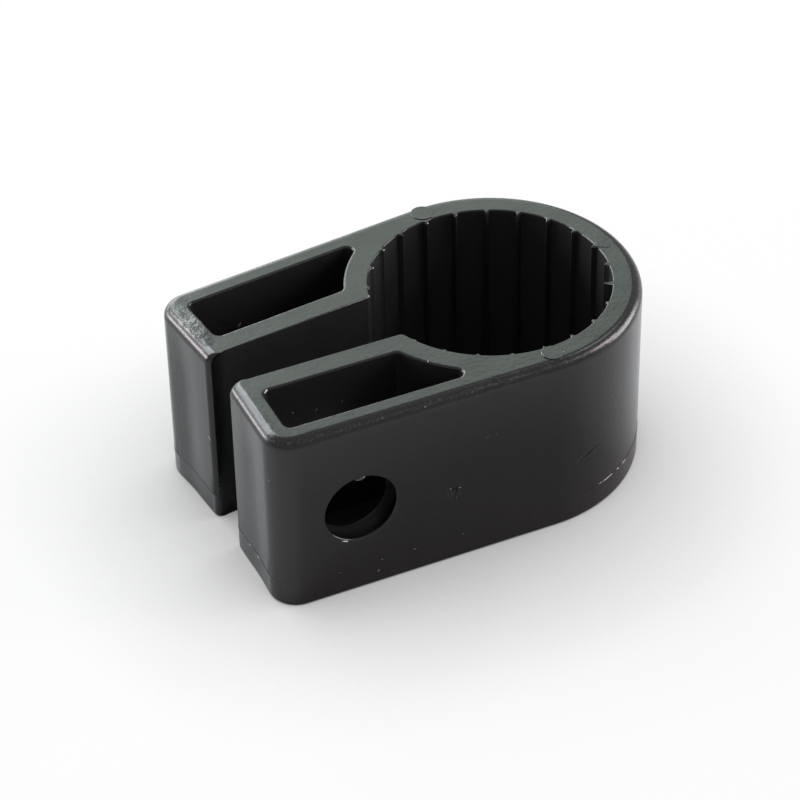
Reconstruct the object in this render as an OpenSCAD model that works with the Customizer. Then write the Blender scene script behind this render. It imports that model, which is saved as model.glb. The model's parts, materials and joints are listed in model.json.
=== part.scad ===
// One-hole cable clamp: a ring with a ribbed bore, and two hollow legs that one screw draws together.
// The cable's axis is Z, the base rests on z = 0 and the legs point to -X.

/* [Cable passage] */
// Diameter between opposite rib tips
passage_d = 20; // [17:0.5:24]
// Height of a rib above the bore wall
rib_h = 0.45; // [0.3:0.05:0.7]
// Angle between the two flanks of a rib
rib_angle = 60; // [40:5:80]
// Angle from one rib to the next
rib_pitch = 15.6; // [13:0.2:20]

/* [Body] */
// Height along the cable
body_h = 17.5; // [15:0.5:24]
// Thickness of the ring round the cable
ring_wall = 2.55; // [2.35:0.05:3.5]
// Radius of the outer top edge
top_edge_r = 0.95; // [0.5:0.05:1.4]
// Radius of the outer bottom edge
base_edge_r = 0.3; // [0.2:0.05:0.6]

/* [Legs] */
// Length of a leg from the bore wall to its end face
leg_reach = 15.15; // [14.5:0.05:20]
// Width of the slot before the legs lean in
slot_w = 7; // [6.6:0.1:8]
// Angle by which each leg leans towards the other one
leg_lean = 3.3; // [1:0.1:3.8]
// Radius of the upright outer corner at a leg's end
leg_corner_r = 2.45; // [1.8:0.05:3.5]
// Radius of the upright corner at the slot's mouth
slot_corner_r = 0.5; // [0.3:0.05:0.9]

/* [Pockets] */
// Thickness of the walls round a pocket
wall = 2.1; // [1.7:0.05:2.4]
// Thickness of the floor under a pocket
pocket_floor = 2.4; // [1.8:0.1:4]
// Radius of a pocket's upright corners
pocket_corner_r = 0.6; // [0.4:0.05:0.9]

/* [Fixing hole] */
// Diameter of the screw hole through both legs
hole_d = 6.4; // [4.4:0.1:6.8]
// Distance from the hole's axis to the leg ends, along X
hole_from_end = 6.8; // [6.6:0.05:7.4]
// Height of the hole's axis above the base
hole_z = 8.65; // [7.5:0.05:9.5]

/* [Ejector pads] */
// Diameter of the flat pads on the ring's top
pad_d = 2; // [1.5:0.1:2.1]
// Height of a pad above the top face
pad_h = 0.08; // [0.06:0.01:0.2]

/* [Hidden] */
$fn = 96;
// How far a cut runs past the face that it opens
over = 1;
bore_r = passage_d / 2 + rib_h;
outer_r = bore_r + ring_wall;
slot_half = slot_w / 2;
leg_len = bore_r + leg_reach;
hole_x = leg_len - hole_from_end;
pocket_in = slot_half + wall;
pocket_out = outer_r - wall;
pocket_end = leg_len - wall;
pocket_arc_r = bore_r + wall;
// Angle kept free of ribs beside the slot
rib_clear = 5;
// Angle at which the slot meets the bore wall
slot_edge = 180 + leg_lean - asin(slot_half / bore_r);
// Number of ribs on each side of the one opposite the slot
rib_side = floor((slot_edge - rib_clear) / rib_pitch);
// Distance from the bore wall to a pad's rim
pad_clear = 0.15;
pad_r = bore_r + pad_clear + pad_d / 2;

// What lies outside a quarter circle of radius r in the corner at (r, r).
module corner_waste(r) {
    difference() {
        square(r + over);
        circle(r);
    }
}

// Upright section through an outer wall: the outside is at x = reach, rounded at the top and the bottom.
module wall_section(reach) {
    difference() {
        square([reach, body_h]);
        translate([reach - top_edge_r, body_h - top_edge_r])
            corner_waste(top_edge_r);
        translate([reach - base_edge_r, base_edge_r])
            mirror([0, 1])
                corner_waste(base_edge_r);
    }
}

// The ring between the roots of the two legs, solid down to the slot's half width.
module ring() {
    rotate([0, 0, -90 - leg_lean])
        rotate_extrude(angle = 180 + 2 * leg_lean)
            translate([slot_half, 0])
                wall_section(outer_r - slot_half);
}

// One leg in its own frame, along -X, before it leans: side, rounded corner and end.
module leg() {
    straight = leg_len - leg_corner_r;
    translate([-straight, 0, 0])
        rotate([90, 0, 90])
            linear_extrude(straight)
                translate([slot_half, 0])
                    wall_section(outer_r - slot_half);
    translate([-straight, outer_r - leg_corner_r, 0])
        rotate([0, 0, 90])
            rotate_extrude(angle = 90)
                wall_section(leg_corner_r);
    translate([-straight, slot_half, 0])
        rotate([90, 0, 180])
            linear_extrude(outer_r - leg_corner_r - slot_half)
                wall_section(leg_corner_r);
}

// Fills the corner between a pocket's long side at y and its arc; side is 1 where the pocket lies above y.
module arc_corner(y, side) {
    cy = y + side * pocket_corner_r;
    cx = -sqrt(pow(pocket_arc_r + pocket_corner_r, 2) - cy * cy);
    inner = (pocket_arc_r - over) / (pocket_arc_r + pocket_corner_r);
    tip_x = -sqrt(pocket_arc_r * pocket_arc_r - y * y);
    difference() {
        polygon([[cx, cy], [cx, y - side * over], [tip_x + over, y - side * over], [cx * inner, cy * inner]]);
        translate([cx, cy])
            circle(pocket_corner_r);
    }
}

// Outline of a pocket in its leg's frame: three straight sides and an arc that follows the bore.
module pocket_outline() {
    difference() {
        translate([-pocket_end, pocket_in])
            square([pocket_end, pocket_out - pocket_in]);
        translate([-pocket_end + pocket_corner_r, pocket_in + pocket_corner_r])
            rotate(180)
                corner_waste(pocket_corner_r);
        translate([-pocket_end + pocket_corner_r, pocket_out - pocket_corner_r])
            rotate(90)
                corner_waste(pocket_corner_r);
        circle(pocket_arc_r);
        arc_corner(pocket_in, 1);
        arc_corner(pocket_out, -1);
    }
}

// What is cut from one leg: its pocket, and the rounding of its corner at the slot's mouth.
module leg_cuts() {
    translate([0, 0, pocket_floor])
        linear_extrude(body_h)
            pocket_outline();
    translate([slot_corner_r - leg_len, slot_half + slot_corner_r, -over])
        linear_extrude(body_h + 2 * over)
            rotate(180)
                corner_waste(slot_corner_r);
}

// One rib in plan: its tip points to the cable's axis.
module rib() {
    half = (rib_h + over) * tan(rib_angle / 2);
    polygon([[bore_r - rib_h, 0], [bore_r + over, half], [bore_r + over, -half]]);
}

// The cable's space: a round bore with the ribs left standing.
module bore() {
    translate([0, 0, -over])
        linear_extrude(body_h + 2 * over)
            difference() {
                circle(bore_r);
                for (i = [-rib_side : rib_side])
                    rotate(i * rib_pitch)
                        rib();
            }
}

// Flat pads that the ejector pins leave on the ring's top face.
module pads() {
    for (a = [-90, 0, 90])
        rotate([0, 0, a])
            translate([pad_r, 0, body_h - top_edge_r])
                cylinder(d = pad_d, h = top_edge_r + pad_h);
}

// Places a leg's geometry on both sides of the slot.
module both_legs() {
    for (s = [0, 1])
        mirror([0, s, 0])
            rotate([0, 0, leg_lean])
                children();
}

module clamp_body() {
    color("#1c1d1e")
        difference() {
            union() {
                ring();
                both_legs()
                    leg();
                pads();
            }
            both_legs()
                leg_cuts();
            bore();
            translate([-hole_x, 0, hole_z])
                rotate([90, 0, 0])
                    cylinder(d = hole_d, h = 2 * (outer_r + over), center = true);
        }
}

clamp_body();
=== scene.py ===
# %% [markdown]
# # A moulded cable clamp
# This lesson dresses one small part: a black plastic clamp that holds a cable against a wall.
# It is moulded in one shot, so it is one mesh. The measured model gives its sizes and its place,
# and this script gives it what a mould gives the real one: rounded and broken edges, a parting line,
# the scar of the gate, ejector pads and a satin skin.

import json
import math

import bmesh
import bpy
from mathutils import Matrix, Vector


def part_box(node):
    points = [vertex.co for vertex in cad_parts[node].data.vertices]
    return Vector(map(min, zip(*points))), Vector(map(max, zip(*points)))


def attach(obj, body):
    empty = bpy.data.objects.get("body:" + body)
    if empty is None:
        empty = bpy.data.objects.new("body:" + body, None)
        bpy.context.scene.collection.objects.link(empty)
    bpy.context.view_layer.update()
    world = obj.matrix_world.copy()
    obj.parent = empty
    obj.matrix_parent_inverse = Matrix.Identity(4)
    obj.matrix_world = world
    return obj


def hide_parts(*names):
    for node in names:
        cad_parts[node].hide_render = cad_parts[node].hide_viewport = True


MM = 0.001
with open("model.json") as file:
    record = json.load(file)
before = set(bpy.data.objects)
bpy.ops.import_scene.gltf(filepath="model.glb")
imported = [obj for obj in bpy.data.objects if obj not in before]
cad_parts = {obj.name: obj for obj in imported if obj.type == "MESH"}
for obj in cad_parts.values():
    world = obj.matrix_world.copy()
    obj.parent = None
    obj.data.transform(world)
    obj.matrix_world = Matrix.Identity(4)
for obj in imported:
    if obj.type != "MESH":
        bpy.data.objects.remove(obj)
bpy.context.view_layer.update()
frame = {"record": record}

# %% [markdown]
# ## Sizes
# Blender works in metres, but a part of this size is easier to think of in millimetres, so the mesh is
# built in millimetres and shrunk once at the end. What a screw, a cable or a wall depends on is read
# from the measured model here. The other sizes are named where they are first needed.

# %% Read the sizes that other things depend on
NODE = "clamp_body"

mounts = {mount["name"]: mount for mount in frame["record"]["mounts"]}
tip_r = mounts["cable_passage"]["dims"]["r_mm"]
body_h = mounts["cable_passage"]["dims"]["length_mm"]
hole_r = mounts["fixing_hole"]["dims"]["r_mm"]
hole_x = mounts["fixing_hole"]["pos_m"][0] / MM
hole_z = mounts["fixing_hole"]["pos_m"][2] / MM
lean = -math.asin(mounts["wall_face"]["axis"][0])
ring_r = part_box(NODE)[1].x / MM
print(f"ring {2 * ring_r:.1f} mm across and {body_h:.1f} mm high")
print(f"legs lean in by {math.degrees(lean):.1f} degrees")

# %% [markdown]
# ## Draw the outline
# Seen from above, the clamp is one closed line: round the ring, down a leg, into the slot and round the
# ribbed bore. A line like this could be a list of points, but a mesh can draw it the way a draughtsman
# does. A single vertex is extruded for a straight run and spun about a centre for an arc. Only one half
# is drawn, and a mirror makes the other.

# %% The pen: straight runs and arcs
def in_leg(x, y):
    """A point of a leg's own straight frame, leaned in with the leg."""
    return Matrix.Rotation(lean, 3, "Z") @ Vector((x, y, 0))


def polar(radius, angle):
    """A point of the plan at a distance from the cable's axis."""
    return Vector((radius * math.cos(angle), radius * math.sin(angle), 0))


def run_to(bm, tip, point):
    """Extrudes the line's last vertex straight to a point."""
    tip = bmesh.ops.extrude_vert_indiv(bm, verts=[tip])["verts"][0]
    tip.co = point
    return tip


def swing(bm, tip, centre, angle, steps):
    """Spins the line's last vertex about an upright axis."""
    spun = bmesh.ops.spin(bm, geom=[tip], cent=centre, axis=(0, 0, 1), angle=angle, steps=steps)
    return next(item for item in spun["geom_last"] if isinstance(item, bmesh.types.BMVert))


# %% [markdown]
# A vertex can carry numbers of its own in layers, and a new vertex takes them over from the one that it
# is extruded from. Here a number says which skin of the clamp a vertex belongs to, so a later step can
# find it again. Three more tell the material how pale a sliver is, which partly paints a glint; where the
# inner skin is, which is rougher and painted lighter to stand in for light in the hollows; and where the
# edge is rubbed, whose pale specks are partly a painted highlight. The layers are made first, because
# adding one later makes Blender lose the vertices that are held by name.

# %% The ring and one leg
OUTSIDE, MOUTH, INSIDE, POCKET = 1, 2, 3, 4
LEG_LEN = 25.6
LEG_CORNER_R = 2.45
SLOT_HALF = 3.5
MOUTH_R = 0.5
RING_STEPS = 48
CORNER_STEPS = 12
END_STEPS = 16
MOUTH_STEPS = 8

body = bmesh.new()
skin = body.verts.layers.int.new("skin")
# how pale a sliver is: partly bent plastic, partly a painted glint
pale_and_glint = body.verts.layers.float.new("pale_and_glint")
# the inner skin: rougher, and painted a little lighter as light in the hollows
core_and_painted_light = body.verts.layers.float.new("core_and_painted_light")
# the rubbed band: rougher, and its pale specks are partly wear and partly a painted highlight
rubbed_and_highlight = body.verts.layers.float.new("rubbed_and_highlight")

cable_axis = Vector((0, 0, 0))
straight = LEG_LEN - LEG_CORNER_R
end_from = SLOT_HALF + MOUTH_R
end_to = ring_r - LEG_CORNER_R
pen = body.verts.new((ring_r, 0, 0))
pen[skin] = OUTSIDE
pen = swing(body, pen, cable_axis, math.pi / 2 + lean, RING_STEPS)
pen = run_to(body, pen, in_leg(-straight, ring_r))
pen = swing(body, pen, in_leg(-straight, end_to), math.pi / 2, CORNER_STEPS)
pen[skin] = MOUTH
for step in range(1, END_STEPS + 1):
    pen = run_to(body, pen, in_leg(-LEG_LEN, end_to + (end_from - end_to) * step / END_STEPS))
pen = swing(body, pen, in_leg(MOUTH_R - LEG_LEN, end_from), math.pi / 2, MOUTH_STEPS)
print("ring and leg drawn with", len(body.verts), "vertices")

# %% [markdown]
# The bore's wall is an arc between ribs. Each rib is a small wedge with its point blunted, because no
# mould fills a knife edge. The angle from a rib's middle to its foot follows from the sine rule.

# %% The slot and the ribbed bore
RIB_H = 0.45
RIB_FLANK = math.radians(30)
RIB_PITCH = math.radians(15.6)
RIBS_EACH_SIDE = 10
TIP_FLAT = 0.1
EDGE_BREAK = 0.12
# how far the outer skin runs into the slot before the inner skin begins
RUN_OUT = 1.2
ROOT_STEPS = 4
# points nearer to each other than this are the same point
CLOSE = 1e-4

bore_r = tip_r + RIB_H
slot_root = -math.sqrt(bore_r**2 - SLOT_HALF**2)
rib_foot = RIB_FLANK - math.asin(tip_r * math.sin(RIB_FLANK) / bore_r)
blunt_r = tip_r + TIP_FLAT / 2 / math.tan(RIB_FLANK)
blunt = math.atan2(TIP_FLAT / 2, blunt_r)
reached = math.pi + lean - math.asin(SLOT_HALF / bore_r) - 2 * EDGE_BREAK / bore_r

pen = run_to(body, pen, in_leg(MOUTH_R + RUN_OUT - LEG_LEN, SLOT_HALF))
pen[skin] = INSIDE
pen = run_to(body, pen, in_leg(slot_root - 2 * EDGE_BREAK, SLOT_HALF))
pen = run_to(body, pen, polar(bore_r, reached))
for count in range(RIBS_EACH_SIDE, -1, -1):
    rib_at = count * RIB_PITCH
    pen = swing(body, pen, cable_axis, rib_at + rib_foot - reached, ROOT_STEPS)
    pen = run_to(body, pen, polar(blunt_r, rib_at + blunt))
    if count:
        pen = run_to(body, pen, polar(blunt_r, rib_at - blunt))
        pen = run_to(body, pen, polar(bore_r, rib_at - rib_foot))
        reached = rib_at - rib_foot
pen = run_to(body, pen, polar(blunt_r, 0))
bmesh.ops.mirror(body, geom=body.verts[:] + body.edges[:], axis="Y", merge_dist=CLOSE)
bmesh.ops.remove_doubles(body, verts=body.verts, dist=CLOSE)
print("whole outline drawn with", len(body.verts), "vertices")

# %% [markdown]
# Moulded ribs are never alike: some filled well, some are rubbed down and one stands proud. Each tip is
# moved to the height, in millimetres, that its own rib shows; the list runs from the last rib on the
# near side to the last one on the far side.

# %% Give each rib its own height
RIB_HEIGHTS = [0.12, 0.14, 0.2, 0.18, 0.28, 0.3, 0.3, 0.24, 0.75, 0.36, 0.4]
RIB_HEIGHTS += [0.42, 0.45, 0.45, 0.42, 0.4, 0.4, 0.36, 0.26, 0.26, 0.2]

for vert in body.verts:
    if vert[skin] == INSIDE and vert.co.length < bore_r - RIB_H / 2:
        count = round(math.atan2(vert.co.y, vert.co.x) / RIB_PITCH)
        vert.co *= (bore_r - RIB_HEIGHTS[count + RIBS_EACH_SIDE]) / vert.co.length
print("ribs from", min(RIB_HEIGHTS), "to", max(RIB_HEIGHTS), "mm high")

# %% [markdown]
# ## Raise the walls
# An outline becomes a wall when its edges are extruded upwards, one ring at a time. Each new ring may be
# pulled in a little, and rings that follow a quarter circle round the edge over. The helpers below walk
# round a ring, extrude it, and find which way is out at each of its vertices.

# %% Tools for rings
def ring_from(start, toward):
    """Walks a closed line of edges, first to the neighbour of start that lies furthest along toward."""
    ring = [start]
    edge = max(start.link_edges, key=lambda e: e.other_vert(start).co.dot(toward))
    while edge.other_vert(ring[-1]) is not start:
        ring.append(edge.other_vert(ring[-1]))
        edge = next(e for e in ring[-1].link_edges if e is not edge)
    return ring


def ring_edges(bm, ring):
    """The edges of a closed ring of vertices."""
    return [bm.edges.get((a, b)) for a, b in zip(ring, ring[1:] + ring[:1])]


def next_ring(bm, ring, places):
    """Extrudes a ring once and sets the new ring at the places given."""
    made = bmesh.ops.extrude_edge_only(bm, edges=ring_edges(bm, ring))["geom"]
    fresh = {item for item in made if isinstance(item, bmesh.types.BMVert)}
    lifted = []
    for vert, place in zip(ring, places):
        new = next(e.other_vert(vert) for e in vert.link_edges if e.other_vert(vert) in fresh)
        new.co = place
        lifted.append(new)
    return lifted


def outward(ring):
    """For each vertex of an anticlockwise ring, the plan vector that moves both its edges out by 1."""
    found = []
    for before, vert, after in zip(ring[-1:] + ring[:-1], ring, ring[1:] + ring[:1]):
        run_in = (vert.co - before.co).normalized()
        run_out = (after.co - vert.co).normalized()
        first = Vector((run_in.y, -run_in.x, 0))
        second = Vector((run_out.y, -run_out.x, 0))
        found.append((first + second) / (1 + first.dot(second)))
    return found


def quarter(steps):
    """A quarter circle as (inward, below the edge) shares of its radius, from the side to the flat."""
    turns = [math.pi / 2 * step / steps for step in range(steps + 1)]
    return [(1 - math.cos(turn), 1 - math.sin(turn)) for turn in turns]


# %% [markdown]
# The flat end of each leg is a little hollow. Plastic shrinks as it cools, and a thin wall in front of a
# pocket is drawn in, most at its middle and least at the base, where the pocket's floor holds it. A
# lattice or sculpting could dent it, but a formula that pushes the rings in keeps the wall smooth.

# %% How far a leg's end has sunk
SINK = 0.22
# above 1, the deepest place moves from the middle towards the outer corner
SINK_SKEW = 1.4


def sunk(point, kind):
    """How far a leg's end has sunk at a point: most over the middle of the pocket behind it."""
    if kind != MOUTH:
        return 0.0
    across = (Matrix.Rotation(-lean, 3, "Z") @ Vector((point.x, abs(point.y), 0))).y
    part = min(max((across - end_from) / (end_to - end_from), 0.0), 1.0)
    return SINK * math.sin(math.pi * part**SINK_SKEW) ** 2


# %% [markdown]
# Now the rings. The outer edge has a wide radius at the top, where the mould was polished, and the edges
# of the slot and the bore are only just broken. The parting line, where the halves of the mould met, is
# a low bead near the base. No ring lies at the height of the screw hole, so that each wall that the
# screw crosses stays one flat face for the drilling below.

# %% Raise the body
TOP_EDGE_R = 0.95
TOP_STEPS = 12
BASE_EDGE_R = 0.3
BASE_STEPS = 4
BASE_SINK = 0.35
PARTING_Z = 2.35
PARTING_W = 0.22
PARTING_H = 0.035
PARTING_SINK = 0.45
# place of each ring of the bead as a share of half its width, and its height
PARTING_BEAD = ((-1.0, 0.0), (-0.4, PARTING_H), (0.4, PARTING_H), (1.0, 0.0))
# height of each ring above the bead, and its share of the sink
WALL_RINGS = ((4.5, 0.7), (12.6, 0.75))

first_vert = min(body.verts, key=lambda v: (v.co - Vector((ring_r, 0, 0))).length)
base_ring = ring_from(first_vert, Vector((0, 1, 0)))
plan = [vert.co.copy() for vert in base_ring]
kinds = [vert[skin] for vert in base_ring]
ways = outward(base_ring)
leg_end = in_leg(-1, 0)
for index, kind in enumerate(kinds):
    if kind == MOUTH:
        ways[index] = Vector((leg_end.x, math.copysign(leg_end.y, -plan[index].y), 0))


def layer(level, outside_r=0.0, share=(0.0, 0.0), rise=1, bead=0.0, sink=0.0):
    """Places for one ring: share is (inward, along the axis) of each vertex's own edge radius."""
    places = []
    for point, way, kind in zip(plan, ways, kinds):
        radius = EDGE_BREAK if kind == INSIDE else outside_r
        push = 0.0 if kind == INSIDE else bead
        push -= radius * share[0] + sink * sunk(point, kind)
        places.append(point + way * push + Vector((0, 0, level + rise * radius * share[1])))
    return places


layers = [layer(0.0, BASE_EDGE_R, share, sink=BASE_SINK) for share in reversed(quarter(BASE_STEPS))]
for side, bead in PARTING_BEAD:
    layers.append(layer(PARTING_Z + side * PARTING_W / 2, bead=bead, sink=PARTING_SINK))
layers += [layer(level, sink=sink) for level, sink in WALL_RINGS]
layers += [layer(body_h, TOP_EDGE_R, share, rise=-1) for share in quarter(TOP_STEPS)]

for vert, place in zip(base_ring, layers[0]):
    vert.co = place
top_ring = base_ring
for places in layers[1:]:
    top_ring = next_ring(body, top_ring, places)
print("walls raised in", len(layers), "rings")

# %% [markdown]
# ## Sink the pockets
# Each leg is hollow from above, which saves plastic and keeps the walls from sinking as they cool. The
# pocket is drawn with the same pen: three straight walls and an arc that keeps an even wall round the
# bore.

# %% Draw one pocket
WALL = 2.1
POCKET_CORNER_R = 0.6
FILLET_STEPS = 8

pocket_in = SLOT_HALF + WALL
pocket_out = ring_r - WALL
pocket_end = LEG_LEN - WALL
far = bore_r + WALL + POCKET_CORNER_R
inner_y = pocket_in + POCKET_CORNER_R
outer_y = pocket_out - POCKET_CORNER_R
inner_c = (-math.sqrt(far**2 - inner_y**2), inner_y)
outer_c = (-math.sqrt(far**2 - outer_y**2), outer_y)
inner_at = math.asin(inner_y / far)
outer_at = math.asin(outer_y / far)
back_x = POCKET_CORNER_R - pocket_end

pocket_start = body.verts.new(in_leg(back_x, pocket_in))
pocket_start[skin] = POCKET
pen = run_to(body, pocket_start, in_leg(inner_c[0], pocket_in))
pen = swing(body, pen, in_leg(*inner_c), math.pi / 2 - inner_at, FILLET_STEPS)
pen = swing(body, pen, cable_axis, inner_at - outer_at, FILLET_STEPS)
pen = swing(body, pen, in_leg(*outer_c), math.pi / 2 + outer_at, FILLET_STEPS)
pen = run_to(body, pen, in_leg(back_x, pocket_out))
pen = swing(body, pen, in_leg(back_x, outer_y), math.pi / 2, FILLET_STEPS)
pen = run_to(body, pen, in_leg(-pocket_end, inner_y))
pen = swing(body, pen, in_leg(back_x, inner_y), math.pi / 2, FILLET_STEPS)
bmesh.ops.weld_verts(body, targetmap={pen: pocket_start})
print(f"pocket {pocket_out - pocket_in:.1f} mm wide")

# %% [markdown]
# The pocket's rings go down instead of up. Its rim is softly rounded, which gives the thin line of light
# that runs round each pocket, and its floor is plain. The second pocket is a mirror image of the first.

# %% Sink it and mirror it to the other leg
POCKET_FLOOR = 2.4
POCKET_RIM = 0.2
POCKET_RIM_STEPS = 4

pocket_rim = ring_from(pocket_start, in_leg(1, 0))
pocket_plan = [vert.co.copy() for vert in pocket_rim]
pocket_ways = outward(pocket_rim)


def pocket_ring(push, level):
    """Places for one ring of the pocket, all pushed out into its walls by the same amount."""
    return [point + way * push + Vector((0, 0, level)) for point, way in zip(pocket_plan, pocket_ways)]


rim_steps = reversed(quarter(POCKET_RIM_STEPS))
steps_down = [pocket_ring(POCKET_RIM * a, body_h - POCKET_RIM * b) for a, b in rim_steps]
steps_down.append(pocket_ring(0.0, POCKET_FLOOR))
for vert, place in zip(pocket_rim, steps_down[0]):
    vert.co = place
low_ring = pocket_rim
for places in steps_down[1:]:
    low_ring = next_ring(body, low_ring, places)
bmesh.ops.edgeloop_fill(body, edges=ring_edges(body, low_ring))
one_pocket = [v for v in body.verts if v[skin] == POCKET]
one_pocket += [e for e in body.edges if all(v[skin] == POCKET for v in e.verts)]
one_pocket += [f for f in body.faces if all(v[skin] == POCKET for v in f.verts)]
bmesh.ops.mirror(body, geom=one_pocket, axis="Y", merge_dist=CLOSE)
print(f"pockets sunk {body_h - POCKET_FLOOR:.1f} mm deep")

# %% [markdown]
# ## Close the top and the base
# The top face is whatever lies between the outer ring and the two pocket rims. A triangle fill takes all
# open edges at that height and finds the holes by itself.

# %% Fill the open edges
for level in (body_h, 0.0):
    rims = [e for e in body.edges if e.is_boundary and all(abs(v.co.z - level) < CLOSE for v in e.verts)]
    bmesh.ops.triangle_fill(body, edges=rims, use_beauty=True)
    print("closed", len(rims), "edges at", round(level, 2), "mm")

# %% [markdown]
# ## Drill the screw hole
# The hole crosses eight flat walls: the outer and inner face of each wall beside the two pockets. A
# boolean could cut it, but it leaves ragged triangles that spoil the shading of a rounded rim. Here each
# wall is replaced by the same wall with a ring in it, and a bridge joins the rings of each pair.

# %% Tools to open a wall
HOLE_RIM = 0.18
# least share of a wall's normal that lies along the screw
FACING = 0.9


def spans_hole(face):
    """True for a flat wall that the screw crosses."""
    xs = [v.co.x for v in face.verts]
    zs = [v.co.z for v in face.verts]
    clear = hole_r + HOLE_RIM
    wide = min(xs) < hole_x - clear and max(xs) > hole_x + clear
    tall = min(zs) < hole_z - clear and max(zs) > hole_z + clear
    return wide and tall and abs(face.normal.y) > FACING


def open_wall(bm, face, circles):
    """Replaces a wall by itself with circles left open, each drawn along Y onto the wall's plane."""
    centre = face.calc_center_median()
    normal = face.normal.copy()
    edges = list(face.edges)
    bmesh.ops.delete(bm, geom=[face], context="FACES_ONLY")
    rings = []
    for x, z, radius, steps in circles:
        upright = Matrix.Translation((x, 0, z)) @ Matrix.Rotation(math.pi / 2, 4, "X")
        ring = bmesh.ops.create_circle(bm, radius=radius, segments=steps, matrix=upright)["verts"]
        for vert in ring:
            vert.co.y = centre.y - normal.xz.dot(vert.co.xz - centre.xz) / normal.y
        rings.append(ring)
        edges += ring_edges(bm, ring)
    bmesh.ops.triangle_fill(bm, edges=edges, use_beauty=True)
    return rings


# %% [markdown]
# The walls are taken from front to back. The first one also gets a second, smaller ring, which the next
# step turns into the scar of the gate. Round each hole, three rings turn the rim over.

# %% Open the eight walls and join each pair
HOLE_STEPS = 64
RIM_STEPS = 3
GATE_X = -10.31
GATE_Z = 7.35
GATE_R = 0.8
GATE_STEPS = 24

body.normal_update()
walls = sorted((f for f in body.faces if spans_hole(f)), key=lambda f: f.calc_center_median().y)
mouths = []
for index, face in enumerate(walls):
    circles = [(hole_x, hole_z, hole_r + HOLE_RIM, HOLE_STEPS)]
    if index == 0:
        circles.append((GATE_X, GATE_Z, GATE_R, GATE_STEPS))
    rings = open_wall(body, face, circles)
    if index == 0:
        gate_ring = rings[1]
    mouth = rings[0]
    depth = HOLE_RIM if index % 2 == 0 else -HOLE_RIM
    for a, b in quarter(RIM_STEPS)[::-1][1:]:
        spots = []
        for vert in rings[0]:
            arm = (vert.co - Vector((hole_x, vert.co.y, hole_z))).normalized()
            middle = Vector((hole_x, vert.co.y + depth * b, hole_z))
            spots.append(middle + arm * (hole_r + HOLE_RIM * a))
        mouth = next_ring(body, mouth, spots)
    mouths.append(mouth)
for front_mouth, back_mouth in zip(mouths[0::2], mouths[1::2]):
    bmesh.ops.bridge_loops(body, edges=ring_edges(body, front_mouth) + ring_edges(body, back_mouth))
print("hole drilled through", len(walls), "walls")

# %% [markdown]
# ## The scar of the gate
# Molten plastic entered through a gate in the middle of the front leg, and breaking it off left a small,
# shallow, irregular scar. A displacement map could roughen the spot, but a few rings are enough: each
# ring is pushed in and out a little from vertex to vertex, and the innermost one makes a shallow pit.

# %% Break off the gate
# share of the scar's radius, how far the ring stands out, and how far it is torn in and out
GATE_RINGS = ((0.8, 0.0, 0.02), (0.5, 0.01, 0.05), (0.3, -0.05, 0.04))
# turn in radians from one vertex to the next, which makes no regular star
TEAR_TURN = 2.4

for share, lift, tear in GATE_RINGS:
    spots = []
    for count, vert in enumerate(gate_ring):
        middle = Vector((GATE_X, vert.co.y, GATE_Z))
        arm = (vert.co - middle).normalized()
        push = lift + tear * math.sin(TEAR_TURN * count)
        spots.append(middle + arm * GATE_R * share - Vector((0, push, 0)))
    gate_ring = next_ring(body, gate_ring, spots)
bmesh.ops.edgeloop_fill(body, edges=ring_edges(body, gate_ring))
print("gate scar made with", len(GATE_RINGS), "rings")

# %% [markdown]
# ## Ejector pads
# Three pins pushed the clamp out of the mould, and each left a low round pad on the ring. A pad is a disc
# with a rounded rim, sunk into the ring so that the two read as one piece. Two of the pins stopped a
# little short, so their pads are lower.

# %% Set the pads
PADS = [
    # middle in plan, radius and height of a pad
    ((-0.48, -11.38), 0.92, 0.08),
    ((11.35, 0.0), 0.8, 0.03),
    ((-0.35, 11.6), 1.0, 0.06),
]
PAD_SUNK = 0.95
PAD_RIM = 0.04
PAD_STEPS = 48

for middle, pad_r, pad_h in PADS:
    foot = Vector((*middle, body_h - PAD_SUNK))
    foot_at = Matrix.Translation(foot)
    disc = bmesh.ops.create_circle(
        body, cap_ends=True, radius=pad_r, segments=PAD_STEPS, matrix=foot_at
    )["verts"]
    arms = [vert.co - foot for vert in disc]
    for a, b in quarter(RIM_STEPS):
        lift = Vector((0, 0, PAD_SUNK + pad_h - PAD_RIM * b))
        disc = next_ring(body, disc, [foot + lift + arm * (1 - PAD_RIM * a / pad_r) for arm in arms])
    bmesh.ops.edgeloop_fill(body, edges=ring_edges(body, disc))
print("pads set:", len(PADS))
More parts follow.
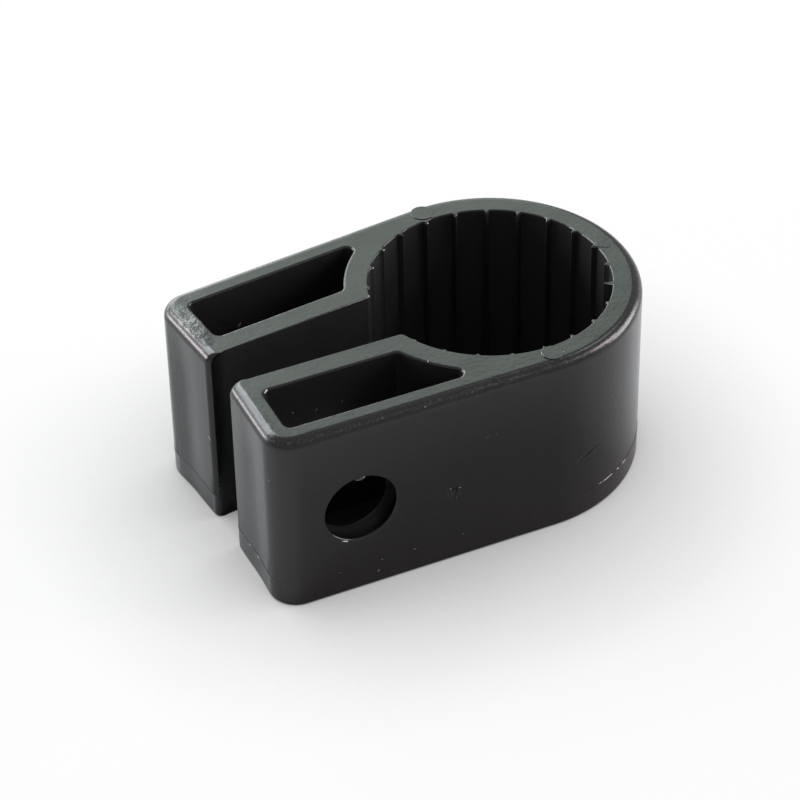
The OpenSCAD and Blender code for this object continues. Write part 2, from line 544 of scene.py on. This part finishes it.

# %% [markdown]
# ## Flash, burrs and painted glints
# Where the mould leaked a little, or a tool touched the part, slivers of plastic stand up and turn pale
# as they are bent. Each could be pulled out of the wall's own faces, but a thin ellipsoid half sunk into
# the wall is easier to place and looks the same at this size. A number on its vertices tells the material
# how pale it is. That paleness is partly the whitening of bent plastic and partly a painted glint, where
# light catches a burr on a rib's tip, the rim of the hole and the walls of the pockets. A few ribs end in
# a burr of the same kind at their top.

# %% Where the slivers are
SLIVERS = [
    # middle of the sliver, its direction, its length, its thickness and how pale it is, which partly
    # paints its glint
    ((7.2, -10.83, 2.36), (0.83, 0.55, 0), 1.0, 0.11, 0.75),
    ((6.25, -11.4, 2.38), (0.88, 0.48, 0), 0.5, 0.09, 0.7),
    ((4.8, -12.08, 2.4), (0.93, 0.37, 0), 1.6, 0.09, 0.7),
    ((3.95, -12.38, 2.42), (0.95, 0.3, 0), 0.6, 0.07, 0.5),
    ((-20.9, -11.82, 2.4), (1, -0.06, 0), 0.35, 0.06, 0.5),
    ((-17.1, -12.04, 2.4), (1, -0.06, 0.2), 0.3, 0.07, 0.5),
    ((-14.1, -12.21, 2.42), (1, -0.06, 0), 0.4, 0.06, 0.4),
    ((-9.6, -12.47, 2.42), (1, -0.06, 0.1), 0.3, 0.06, 0.4),
    ((-17.44, -12.02, 1.3), (0.6, 0, 0.8), 0.25, 0.1, 0.7),
    ((-25.84, -3.4, 2.3), (0.06, 1, 0), 0.6, 0.07, 0.8),
    ((-25.91, -4.9, 2.3), (0.06, 1, 0), 0.5, 0.06, 0.6),
    ((-25.97, -6.66, 2.32), (0.06, 1, 0), 0.7, 0.06, 0.6),
    ((-26.06, -9.9, 13.1), (0.2, 0.3, 0.9), 0.25, 0.08, 0.5),
    ((-25.79, 2.6, 8.64), (0.06, 0.96, 0.25), 0.8, 0.05, 0.9),
    ((-23.38, -4.3, 17.42), (0.75, 0.65, 0), 0.75, 0.13, 1.0),
    ((-21.14, -4.39, 14.32), (0.5, 0, 0.8), 0.22, 0.1, 0.6),
    ((-19.05, -4.51, 13.91), (0.75, 0, 0.65), 0.4, 0.07, 0.5),
    ((-16.65, -4.65, 14.03), (0.6, 0, 0.8), 0.25, 0.08, 0.4),
    ((-9.98, -7.31, 17.47), (0.5, 0.86, 0), 0.3, 0.08, 0.9),
    ((-19.26, 9.8, 13.36), (0.6, 0, 0.8), 0.6, 0.1, 0.6),
    ((-20.4, -11.85, 5.66), (0.93, -0.05, -0.36), 0.6, 0.12, 1.0),
    ((-10.72, -12.42, 7.75), (0.6, -0.03, -0.8), 0.32, 0.12, 0.2),
    ((-9.92, -12.46, 7.6), (0.9, -0.05, -0.3), 0.36, 0.12, 0.16),
    ((-10.75, -12.42, 6.85), (0.8, -0.05, 0.6), 0.4, 0.1, 0.1),
    ((-18.8, -11.82, 11.78), (1.0, -0.06, 0.05), 1.0, 0.36, 0.1),
    ((-10.1, 3.06, 17.43), (0.9, 0.3, 0.2), 0.26, 0.16, 0.9),
    ((-16.61, -11.79, 17.2), (0.3, 0.4, 0.86), 0.24, 0.1, 0.35),
    ((-12.87, -12.08, 17.08), (0.9, 0, 0.4), 0.3, 0.1, 0.4),
    ((-8.6, -12.3, 17.12), (0.95, -0.05, 0), 0.35, 0.08, 0.3),
    ((-10.2, -12.44, 6.6), (0.2, 0, 1), 0.4, 0.1, 0.1),
    ((-11.0, -12.39, 7.1), (0.3, 0, 1), 0.45, 0.1, 0.08),
    ((-7.27, -12.6, 12.1), (0.9, -0.05, 0.35), 0.5, 0.05, 0.2),
    ((-6.44, -12.65, 12.13), (0.5, -0.05, 0.8), 0.3, 0.05, 0.2),
    ((0.35, -11.75, 17.53), (0.46, 0.89, 0), 0.3, 0.1, 0.6),
    ((-1.34, -11.08, 17.54), (0.3, 0.95, 0), 0.5, 0.1, 0.3),
    ((-1.1, -12.02, 17.5), (0.8, -0.6, 0), 0.4, 0.08, 0.25),
]
# number of a rib, counted from the one opposite the slot, and how pale its burr is, which partly paints
# the glint on its tip
RIB_BURRS = {5: 0.3, 6: 0.7, 8: 0.8, 9: 0.45}
BURR_LEN = 0.28
BURR_THICK = 0.1
BURR_DEPTH = 0.05

for count, paleness_and_glint in RIB_BURRS.items():
    tip = polar(bore_r - RIB_HEIGHTS[count + RIBS_EACH_SIDE], count * RIB_PITCH)
    burr_at = (tip.x, tip.y, body_h - BURR_DEPTH)
    SLIVERS.append((burr_at, (tip.y, -tip.x, 0), BURR_LEN, BURR_THICK, paleness_and_glint))
print("slivers and burrs listed:", len(SLIVERS))

# %% Set the slivers
# a sliver's paleness is partly bent plastic and partly a painted glint
for middle, along, length, thickness, paleness_and_glint in SLIVERS:
    aim = Vector(along).to_track_quat("X", "Z").to_matrix().to_4x4()
    stretch = Matrix.Diagonal((length / 2, thickness / 2, thickness / 2, 1))
    lie = Matrix.Translation(middle) @ aim @ stretch
    for vert in bmesh.ops.create_icosphere(body, subdivisions=2, radius=1, matrix=lie)["verts"]:
        vert[pale_and_glint] = paleness_and_glint
print("body has", len(body.faces), "faces with its slivers")

# %% [markdown]
# ## Which skin is which
# The inner walls of the bore, the slot, the pockets and the hole were shaped by cores that nobody
# polished, and the outer edge has been rubbed in use. The inner skin's number also paints a lighter tone
# there, which stands in for light in the hollows, and the rubbed band's pale specks are partly a painted
# highlight along the edge. The material can't know where these are, so each vertex gets a number for
# them. Painting by hand would do it too, but a rule stays right when a size changes.

# %% Mark the inner skin and the rubbed edge
# the hole's wall counts as inner skin up to this distance from the middle of the clamp
HOLE_SKIN_Y = 11
# share of a rim's radius, from the top down, that keeps the outer skin
RIM_KEPT = 0.7
# depth and half width of the rubbed band, whose pale specks partly paint a highlight, as shares of the top
# edge's radius
RUBBED_AND_HIGHLIGHT_AT = 0.29
RUBBED_AND_HIGHLIGHT_W = 0.27

hole_axis = Vector((hole_x, hole_z))
for vert in body.verts:
    in_hole = abs(vert.co.y) < HOLE_SKIN_Y and (vert.co.xz - hole_axis).length < hole_r + 2 * HOLE_RIM
    # the inner skin's number also paints a lighter tone there, as light in the hollows
    if vert[skin] in (INSIDE, POCKET) or in_hole:
        rim = POCKET_RIM if vert[skin] == POCKET else EDGE_BREAK
        vert[core_and_painted_light] = float(EDGE_BREAK < vert.co.z < body_h - RIM_KEPT * rim)
    # the rubbed band's pale specks are partly wear and partly a painted highlight along the edge
    if vert[skin] == OUTSIDE:
        below = (body_h - vert.co.z) / TOP_EDGE_R
        vert[rubbed_and_highlight] = max(0.0, 1.0 - abs(below - RUBBED_AND_HIGHLIGHT_AT) / RUBBED_AND_HIGHLIGHT_W)
print("vertices of inner skin:", sum(1 for vert in body.verts if vert[core_and_painted_light]))

# %% [markdown]
# ## One mesh for one moulding
# The normals are turned outwards, every face is shaded smooth, and the mesh is shrunk to metres. Folds
# sharper than a rounding's steps stay crisp, and so do the borders of the level faces. A Weighted Normal
# modifier lets the large flat faces keep flat shading right up to their rounded edges.

# %% Finish the mesh
SHARP = math.radians(65)
# a face is level where its normal's Z is above this
LEVEL = 0.99999
# faces whose areas in square millimetres differ by less count the same
SAME_AREA = 0.005

bmesh.ops.recalc_face_normals(body, faces=body.faces)
for face in body.faces:
    face.smooth = True
for edge in body.edges:
    level_faces = sum(1 for face in edge.link_faces if abs(face.normal.z) > LEVEL)
    edge.smooth = level_faces != 1 and edge.calc_face_angle(math.pi) < SHARP
open_edges = sum(1 for edge in body.edges if len(edge.link_faces) != 2)
bmesh.ops.scale(body, vec=(MM, MM, MM), verts=body.verts)
mesh = bpy.data.meshes.new("cable_clamp")
body.to_mesh(mesh)
body.free()
clamp = bpy.data.objects.new("cable_clamp", mesh)
bpy.context.collection.objects.link(clamp)
weighted = clamp.modifiers.new("even shading", "WEIGHTED_NORMAL")
weighted.keep_sharp = True
weighted.weight = 100
weighted.thresh = SAME_AREA * MM**2
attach(clamp, "root")
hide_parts(NODE)
print("clamp has", len(mesh.polygons), "faces and", open_edges, "open edges")

# %% [markdown]
# ## Nodes in one line
# A material is a small graph. One helper adds a node, sets it up and links it, so each material below
# reads from top to bottom. Colours are written as a picture shows them and turned to linear light here.

# %% Node and colour helpers
def add_node(tree, kind, inputs=None, **settings):
    """Adds a node with its settings; an input is a value, or an output socket to link from."""
    node = tree.nodes.new(kind)
    for name, value in settings.items():
        setattr(node, name, value)
    for key, value in (inputs or {}).items():
        if isinstance(value, bpy.types.NodeSocket):
            tree.links.new(value, node.inputs[key])
        else:
            node.inputs[key].default_value = value
    return node


def linear(code):
    """A hex colour as linear red, green, blue and alpha."""
    shares = [int(code[i : i + 2], 16) / 255 for i in (1, 3, 5)]
    return tuple(s / 12.92 if s <= 0.04045 else ((s + 0.055) / 1.055) ** 2.4 for s in shares) + (1.0,)


def new_material(name):
    """A material with an empty graph and its output."""
    material = bpy.data.materials.new(name)
    material.use_nodes = True
    material.node_tree.nodes.clear()
    return material, material.node_tree, material.node_tree.nodes.new("ShaderNodeOutputMaterial")


# %% [markdown]
# ## Black polypropylene
# The plastic is coloured with carbon black and injected into a steel mould that was spark eroded to a
# fine satin grain, so its colour is nearly even and its character lies in the relief. Two reliefs cover
# all of it: the grain of the mould, and the slow waves of plastic that shrank as it cooled, which are
# drawn out along the cable. Everything is placed in the clamp's own millimetres, so a mark stays where
# it was made.

# %% The reliefs
# real spark-eroded grain is under 0.1 mm and would not show, so it is drawn at 0.45 mm
GRAIN = 0.45
GRAIN_H = 0.022
WAVE = 5.0
WAVE_H = 0.12
WAVE_DRAWN = (1.0, 1.0, 0.15)

black, tree, output = new_material("black_polypropylene")
coords = add_node(tree, "ShaderNodeTexCoord")
in_mm = add_node(
    tree, "ShaderNodeVectorMath", {0: coords.outputs["Object"], "Scale": 1 / MM}, operation="SCALE"
)
spot = in_mm.outputs["Vector"]
drawn = add_node(tree, "ShaderNodeVectorMath", {0: spot, 1: WAVE_DRAWN}, operation="MULTIPLY")
waves = add_node(
    tree, "ShaderNodeTexNoise", {"Vector": drawn.outputs["Vector"], "Scale": 1 / WAVE, "Detail": 1.0}
)
slow = add_node(tree, "ShaderNodeBump", {"Height": waves.outputs["Fac"], "Distance": WAVE_H * MM})
grain = add_node(
    tree, "ShaderNodeTexNoise", {"Vector": spot, "Scale": 1 / GRAIN, "Detail": 3.0, "Roughness": 0.6}
)
fine = add_node(
    tree,
    "ShaderNodeBump",
    {"Height": grain.outputs["Fac"], "Distance": GRAIN_H * MM, "Normal": slow.outputs["Normal"]},
)
print("grain drawn at", GRAIN, "mm and waves at", WAVE, "mm")

# %% [markdown]
# The tops of both legs were knocked, and the back one was scuffed until the plastic turned chalky. A mark
# is a soft ellipsoid in the clamp's own space: 1 in its middle and 0 outside. Broken up by noise it makes
# a scuff, and used as a depth it makes a dent or a scratch. A painted image would do the same, but it
# needs unwrapping first, and this small graph works on any mesh.

# %% The knocked and scuffed leg tops
SCUFF = 0.7
GOUGE_H = 0.18
# middle and half sizes of each mark
BACK_TOP = ((-25.0, 7.0, 17.6), (1.5, 4.2, 0.25))
FRONT_TOP = ((-25.3, -7.0, 17.68), (1.3, 3.8, 0.22))
CHALKED = ((-25.0, 7.2, 17.5), (1.2, 2.6, 0.4))


def mark(middle, size, turn=(0.0, 0.0, 0.0)):
    """The output of a mask shaped as an ellipsoid of the given half sizes."""
    own_space = add_node(
        tree,
        "ShaderNodeMapping",
        {"Vector": spot, "Location": middle, "Rotation": turn, "Scale": size},
        vector_type="TEXTURE",
    )
    ball = add_node(
        tree, "ShaderNodeTexGradient", {"Vector": own_space.outputs[0]}, gradient_type="SPHERICAL"
    )
    return ball.outputs["Fac"]


blots = add_node(
    tree, "ShaderNodeTexNoise", {"Vector": spot, "Scale": 1 / SCUFF, "Detail": 4.0, "Roughness": 0.65}
)
both_tops = add_node(
    tree, "ShaderNodeMath", {0: mark(*BACK_TOP), 1: mark(*FRONT_TOP)}, operation="ADD"
)
knocked = add_node(tree, "ShaderNodeMapRange", {"Value": both_tops.outputs[0], "From Max": 0.4})
gouges = add_node(
    tree, "ShaderNodeMath", {0: knocked.outputs[0], 1: blots.outputs["Fac"]}, operation="MULTIPLY"
)
gouged = add_node(
    tree,
    "ShaderNodeBump",
    {"Height": gouges.outputs[0], "Distance": GOUGE_H * MM, "Normal": fine.outputs["Normal"]},
)
chalk = add_node(
    tree,
    "ShaderNodeMapRange",
    {"Value": blots.outputs["Fac"], "From Min": 0.46, "From Max": 0.6, "To Max": 0.5},
)
scuff = add_node(
    tree, "ShaderNodeMath", {0: mark(*CHALKED), 1: chalk.outputs[0]}, operation="MULTIPLY"
)
print("leg tops knocked, blots drawn at", SCUFF, "mm")

# %% [markdown]
# A tool left one scratch on the side of the ring, and handling rubbed the rounded outer edge until pale
# specks showed; these specks also paint part of the speckled highlight along that edge. The scratch is
# one more mark, this time as a groove. The specks are fine noise, let through only where the mesh says
# that the edge is rubbed, and a sliver is as pale as its vertices say, which also paints the glints on
# slivers and burrs.

# %% The scratch, the rubbed edge and the slivers
SCRATCH = ((2.45, -12.78, 6.64), (1.7, 0.6, 0.24))
SCRATCH_TURN = (0.0, math.radians(-21), math.radians(11))
SCRATCH_H = 0.05
# real specks are finer than a pixel of the picture, so they are drawn coarser to show
SPECK = 0.22

scratch = mark(*SCRATCH, SCRATCH_TURN)
cut = add_node(
    tree,
    "ShaderNodeBump",
    {"Height": scratch, "Distance": SCRATCH_H * MM, "Normal": gouged.outputs["Normal"]},
    invert=True,
)
dust = add_node(tree, "ShaderNodeTexNoise", {"Vector": spot, "Scale": 1 / SPECK, "Detail": 2.0})
all_specks = add_node(
    tree,
    "ShaderNodeMapRange",
    {"Value": dust.outputs["Fac"], "From Min": 0.5, "From Max": 0.72, "To Max": 0.12},
)
# the rubbed band; its pale specks are partly wear and partly a painted highlight
edges = add_node(tree, "ShaderNodeAttribute", attribute_name="rubbed_and_highlight")
edge_specks_and_highlight = add_node(
    tree, "ShaderNodeMath", {0: all_specks.outputs[0], 1: edges.outputs["Fac"]}, operation="MULTIPLY"
)
# how pale a sliver is: partly bent plastic, partly a painted glint
sliver_pale_and_glint = add_node(tree, "ShaderNodeAttribute", attribute_name="pale_and_glint")
rubbings_and_highlight = add_node(
    tree, "ShaderNodeMath", {0: scuff.outputs[0], 1: edge_specks_and_highlight.outputs[0]}, operation="MAXIMUM"
)
worn_and_glinting = add_node(
    tree, "ShaderNodeMath", {0: rubbings_and_highlight.outputs[0], 1: sliver_pale_and_glint.outputs["Fac"]}, operation="MAXIMUM"
)
print("specks drawn at", SPECK, "mm")

# %% [markdown]
# Last, the shader. Clean polypropylene filled with carbon black is a very dark grey, and bent or scuffed
# it turns nearly white; the same pale tone also paints the glints on slivers and burrs and part of the
# highlight on the rubbed edge. The outer skin took the satin of the mould and mirrors soft light. The
# inner skin came off rough cores, so it is duller and hardly mirrors at all, and its tone is painted a
# little lighter and bluer, which stands in for light in the hollows. A refractive index of 1.49 is that
# of polypropylene.

# %% Put the plastic together
SKIN_TONE = "#141516"
# the inner skin's tone is painted lighter and bluer than the outer skin's, as light in the bore, slot,
# pockets and hole
CORE_TONE_PAINTED_LIGHTER = "#161719"
# the pale tone of bent and scuffed plastic, which also paints the glints on slivers and part of the
# highlight on the rubbed edge
PALE_WEAR_AND_GLINT_TONE = "#d4d8d4"
SATIN = 0.21
RUBBED_SATIN = 0.29
CORE_ROUGH = 0.6
IOR = 1.49

# the inner skin makes the plastic rougher and paints its tone lighter, as light in the hollows
inner_skin_and_painted_light = add_node(tree, "ShaderNodeAttribute", attribute_name="core_and_painted_light")
skin_tone_and_painted_core_light = add_node(
    tree,
    "ShaderNodeMix",
    {0: inner_skin_and_painted_light.outputs["Fac"], 6: linear(SKIN_TONE), 7: linear(CORE_TONE_PAINTED_LIGHTER)},
    data_type="RGBA",
)
tone = add_node(
    tree,
    "ShaderNodeMix",
    {0: worn_and_glinting.outputs[0], 6: skin_tone_and_painted_core_light.outputs[2], 7: linear(PALE_WEAR_AND_GLINT_TONE)},
    data_type="RGBA",
)
outer_rough = add_node(
    tree,
    "ShaderNodeMapRange",
    {"Value": edges.outputs["Fac"], "To Min": SATIN, "To Max": RUBBED_SATIN},
)
whole_rough = add_node(
    tree,
    "ShaderNodeMapRange",
    {"Value": inner_skin_and_painted_light.outputs["Fac"], "To Min": outer_rough.outputs[0], "To Max": CORE_ROUGH},
)
torn = add_node(tree, "ShaderNodeMapRange", {"Value": scratch, "From Max": 0.4})
rough = add_node(
    tree, "ShaderNodeMath", {0: whole_rough.outputs[0], 1: torn.outputs[0]}, operation="MAXIMUM"
)
plastic = add_node(
    tree,
    "ShaderNodeBsdfPrincipled",
    {
        "Base Color": tone.outputs[2],
        "Roughness": rough.outputs[0],
        "IOR": IOR,
        "Normal": cut.outputs["Normal"],
    },
)
tree.links.new(plastic.outputs["BSDF"], output.inputs["Surface"])
mesh.materials.append(black)
print("plastic has", len(tree.nodes), "nodes")

# %% [markdown]
# ## Floor and light
# The floor is white paper, pressed smooth and uncoated, so it scatters light evenly and has no gloss. A
# picture like this has a plain white background. More light would bleach the clamp too, so the floor adds
# some white of its own for the camera and a little for reflections. An Ambient Occlusion node dims it
# where the clamp stands close and keeps light away, so the shadow stays.

# %% White paper
FLOOR_GLOW = 0.86
MIRRORED_GLOW = 0.03
SHADE_REACH = 0.018
PAPER_TONE = "#f4f4f4"

paper, tree, output = new_material("white_paper")
path = add_node(tree, "ShaderNodeLightPath")
in_mirror = add_node(
    tree,
    "ShaderNodeMath",
    {0: path.outputs["Is Glossy Ray"], 1: path.outputs["Is Transmission Ray"]},
    operation="ADD",
)
mirror_glow = add_node(
    tree, "ShaderNodeMath", {0: in_mirror.outputs[0], 1: MIRRORED_GLOW}, operation="MULTIPLY"
)
glow_share = add_node(
    tree,
    "ShaderNodeMath",
    {0: path.outputs["Is Camera Ray"], 1: FLOOR_GLOW, 2: mirror_glow.outputs[0]},
    operation="MULTIPLY_ADD",
)
shade = add_node(tree, "ShaderNodeAmbientOcclusion", {"Distance": SHADE_REACH}, samples=8)
glow = add_node(tree, "ShaderNodeEmission", {"Color": shade.outputs["Color"], "Strength": 1.0})
matte = add_node(tree, "ShaderNodeBsdfDiffuse", {"Color": linear(PAPER_TONE)})
mixed = add_node(
    tree, "ShaderNodeMixShader", {0: glow_share.outputs[0], 1: matte.outputs[0], 2: glow.outputs[0]}
)
tree.links.new(mixed.outputs[0], output.inputs["Surface"])
print("paper has", len(tree.nodes), "nodes")

# %% The floor
FLOOR_SIZE = 2.0

ground = bmesh.new()
bmesh.ops.create_grid(ground, x_segments=1, y_segments=1, size=FLOOR_SIZE / 2)
floor_mesh = bpy.data.meshes.new("floor")
ground.to_mesh(floor_mesh)
ground.free()
floor = bpy.data.objects.new("floor", floor_mesh)
bpy.context.collection.objects.link(floor)
floor_mesh.materials.append(paper)
print("floor", FLOOR_SIZE, "m wide")

# %% [markdown]
# A black satin part is seen mostly by what it mirrors, so the lamps stand for the bright things in a room:
# windows behind and on the left, pale walls, and cards and lamps on the right. Each is an area lamp on a
# sphere round the clamp. Its size sets how wide a highlight is and its radiance how bright, and the
# lamp's power follows from both. An image of a room could light the scene too, but with lamps each
# highlight can be moved by itself.

# %% Lamps
LAMP_AIM = Vector((-6.5, 0, 9)) * MM
LAMP_AWAY = 0.8
WHITE = "#ffffff"
LAMPS = [
    # name, azimuth and elevation in degrees, width and height in metres, radiance and tint
    ("window_behind", 100, 42, 0.54, 0.34, 7.6, "#f2fbff"),
    ("window_on_the_left", 131, 17.5, 0.34, 0.56, 3.0, WHITE),
    ("low_window_on_the_left", 126, 6, 0.28, 0.14, 6.0, WHITE),
    ("gap_in_the_left_window", 143, 15, 0.28, 0.16, 12.5, "#fff0f6"),
    ("pale_wall_behind", 92, 9, 0.6, 0.24, 3.5, WHITE),
    ("wall_behind_on_the_right", 72, 27, 0.46, 0.5, 1.6, "#eafff0"),
    ("card_high_on_the_right", 21, 54, 0.2, 0.2, 3.0, WHITE),
    ("panel_on_the_right", -10, 11, 0.44, 0.32, 8.6, WHITE),
    ("lamp_high_on_the_right", -25, 30, 0.18, 0.18, 20.0, "#ffe8f0"),
    ("card_in_front_on_the_right", -50, 41, 0.18, 0.12, 2.4, WHITE),
]

for name, azimuth, elevation, width, height, radiance, tint in LAMPS:
    lamp = bpy.data.lights.new(name, "AREA")
    lamp.shape = "RECTANGLE"
    lamp.size = width
    lamp.size_y = height
    lamp.energy = radiance * math.pi * width * height
    lamp.color = linear(tint)[:3]
    panel = bpy.data.objects.new(name, lamp)
    flat = polar(math.cos(math.radians(elevation)), math.radians(azimuth))
    toward_lamp = flat + Vector((0, 0, math.sin(math.radians(elevation))))
    panel.location = LAMP_AIM + toward_lamp * LAMP_AWAY
    panel.rotation_euler = toward_lamp.to_track_quat("Z", "Y").to_euler()
    bpy.context.collection.objects.link(panel)
print("lamps hung:", len(LAMPS))

# %% [markdown]
# The room itself is white to the camera, so the background is white above the floor too. Reflections see
# it dimmer, and as light on the clamp it counts for very little, because the lamps do that work. A Light
# Path node tells the three apart.

# %% The room
AIR = 0.06
ROOM_SEEN = 1.0
ROOM_MIRRORED = 0.55

world = bpy.data.worlds.new("studio")
bpy.context.scene.world = world
world.use_nodes = True
tree = world.node_tree
tree.nodes.clear()
output = tree.nodes.new("ShaderNodeOutputWorld")
path = add_node(tree, "ShaderNodeLightPath")
in_mirror = add_node(
    tree,
    "ShaderNodeMath",
    {0: path.outputs["Is Glossy Ray"], 1: path.outputs["Is Transmission Ray"]},
    operation="ADD",
)
unseen = add_node(
    tree,
    "ShaderNodeMath",
    {0: in_mirror.outputs[0], 1: ROOM_MIRRORED - AIR, 2: AIR},
    operation="MULTIPLY_ADD",
)
brightness = add_node(
    tree,
    "ShaderNodeMath",
    {0: path.outputs["Is Camera Ray"], 1: ROOM_SEEN - AIR, 2: unseen.outputs[0]},
    operation="MULTIPLY_ADD",
)
air = add_node(
    tree, "ShaderNodeBackground", {"Color": linear(WHITE), "Strength": brightness.outputs[0]}
)
tree.links.new(air.outputs[0], output.inputs["Surface"])
print("room mirrored at", ROOM_MIRRORED, "of white")

# %% [markdown]
# ## Camera
# The camera stands where the photo was taken from, found by fitting a lens to the clamp's edges. A Track
# To constraint could aim it, but the photo is tilted by about a degree, so the three axes of the camera
# are worked out and set as a matrix.

# %% The camera
AIM = Vector((-9.88, -1.94, 9.63)) * MM
AWAY = 262.4 * MM
AZIMUTH = math.radians(-27.31)
ELEVATION = math.radians(38.44)
ROLL = math.radians(-1.174)
SENSOR_MM = 36.0
LENS_MM = 138.465

flat = math.cos(ELEVATION)
back = Vector((math.sin(AZIMUTH) * flat, -math.cos(AZIMUTH) * flat, math.sin(ELEVATION)))
across = Vector((math.cos(AZIMUTH), math.sin(AZIMUTH), 0))
upright = back.cross(across)
right = across * math.cos(ROLL) + upright * math.sin(ROLL)
up = upright * math.cos(ROLL) - across * math.sin(ROLL)
lens = bpy.data.cameras.new("camera")
lens.sensor_width = SENSOR_MM
lens.lens = LENS_MM
camera = bpy.data.objects.new("camera", lens)
axes = Matrix((right, up, back)).transposed()
camera.matrix_world = Matrix.Translation(AIM + back * AWAY) @ axes.to_4x4()
bpy.context.collection.objects.link(camera)
bpy.context.scene.camera = camera
bpy.context.scene.view_settings.view_transform = "Standard"
print(f"camera {AWAY / MM:.0f} mm from the clamp with a {LENS_MM:.0f} mm lens")
